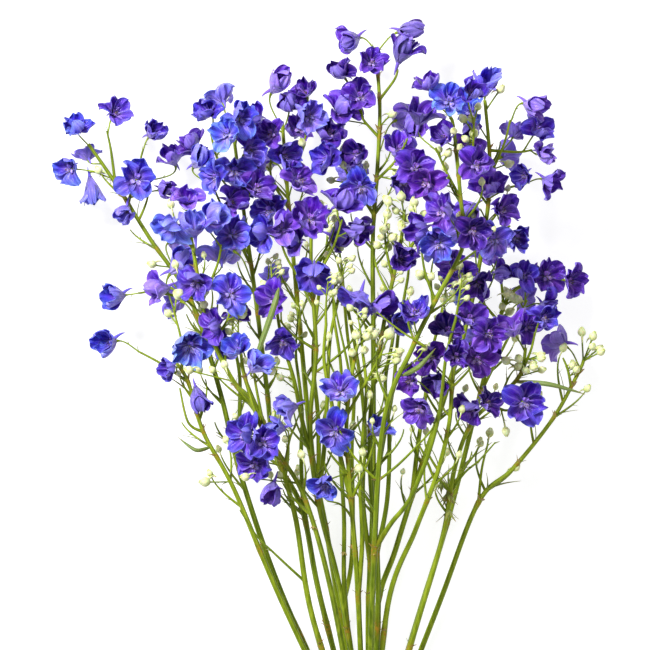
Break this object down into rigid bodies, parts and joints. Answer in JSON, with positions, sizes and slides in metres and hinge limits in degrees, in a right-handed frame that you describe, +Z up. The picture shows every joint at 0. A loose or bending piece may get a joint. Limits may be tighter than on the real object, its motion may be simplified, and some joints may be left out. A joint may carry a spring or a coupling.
{
  "type": "bunch of cut delphinium stems",
  "caption": "Bunch of loose, branched delphinium stems with blue to violet spurred florets and green buds, held by a rubber band and laid on its back.",
  "frame": {"origin": "on the surface that the bunch lies on, under the centre of its box", "axes": "+Y from the cut ends to the flower tips, +Z up from the surface, +X across the head"},
  "size_m": [0.5478, 0.8308, 0.1868],
  "materials": {
    "petal": "soft satin petal, blue to violet",
    "stalk": "fresh green stalk with a faint waxy sheen",
    "bud": "downy pale green bud",
    "rubber": "plain natural rubber"
  },
  "bodies": {
    "root": {"stem_front_right": "petal", "stem_front_left": "petal", "stem_centre_low": "petal", "stem_left_inner": "petal", "stem_right_dark": "petal", "stem_bud_spray": "petal", "stem_right_low": "petal", "stem_left_middle": "petal", "stem_left_low": "petal", "stem_right_top": "petal", "stem_far_right": "petal", "stem_upper_left": "petal", "stem_centre_tall": "petal", "stem_far_left": "petal", "stem_back_right": "petal", "stem_back_left": "petal", "rubber_band": "rubber"}
  },
  "joints": []
}
